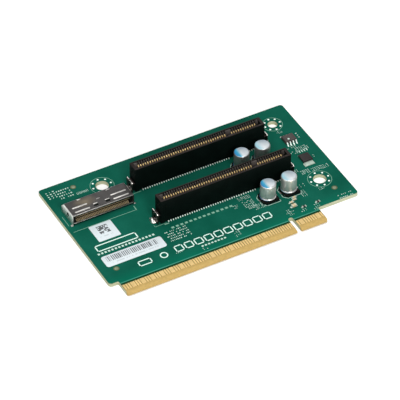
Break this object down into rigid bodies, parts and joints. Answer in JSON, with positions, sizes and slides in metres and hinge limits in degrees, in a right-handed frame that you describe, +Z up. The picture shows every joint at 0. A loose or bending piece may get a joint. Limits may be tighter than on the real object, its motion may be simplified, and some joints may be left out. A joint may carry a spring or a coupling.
{
  "type": "pcie riser card",
  "caption": "Riser card with a gold edge connector, two vertical eight-lane card slots, a shielded right-angle cable connector and three mounting holes.",
  "frame": {"origin": "centre of the plan of the board, on its underside", "axes": "+X along the edge connector towards contact 1, +Y away from the edge connector, +Z up out of the side that carries the slots"},
  "size_m": [0.1058, 0.0662, 0.0126],
  "materials": {
    "green_laminate": "satin",
    "gold_plate": "polished",
    "black_moulding": "matte",
    "spring_metal": "satin",
    "tinned_steel": "satin",
    "nickel_shell": "satin",
    "aluminium_can": "satin",
    "chip_ceramic": "matte",
    "label_paper": "matte"
  },
  "bodies": {
    "root": {"pcb": "green_laminate", "edge_contacts_upper": "gold_plate", "edge_contacts_lower": "gold_plate", "front_slot_housing": "black_moulding", "front_slot_front_contacts": "spring_metal", "front_slot_rear_contacts": "spring_metal", "front_slot_left_hold_down": "tinned_steel", "front_slot_right_hold_down": "tinned_steel", "rear_slot_housing": "black_moulding", "rear_slot_front_contacts": "spring_metal", "rear_slot_rear_contacts": "spring_metal", "rear_slot_left_hold_down": "tinned_steel", "rear_slot_right_hold_down": "tinned_steel", "cable_connector_shell": "nickel_shell", "cable_connector_moulding": "black_moulding", "capacitor_1_can": "aluminium_can", "capacitor_1_base": "black_moulding", "capacitor_1_tabs": "tinned_steel", "capacitor_2_can": "aluminium_can", "capacitor_2_base": "black_moulding", "capacitor_2_tabs": "tinned_steel", "capacitor_3_can": "aluminium_can", "capacitor_3_base": "black_moulding", "capacitor_3_tabs": "tinned_steel", "capacitor_4_can": "aluminium_can", "capacitor_4_base": "black_moulding", "capacitor_4_tabs": "tinned_steel", "driver_chip_body": "black_moulding", "driver_chip_leads": "tinned_steel", "power_transistor_body": "black_moulding", "power_transistor_leads": "tinned_steel", "chip_part_bodies": "chip_ceramic", "chip_part_end_caps": "tinned_steel", "square_label": "label_paper", "bar_label": "label_paper"}
  },
  "joints": []
}
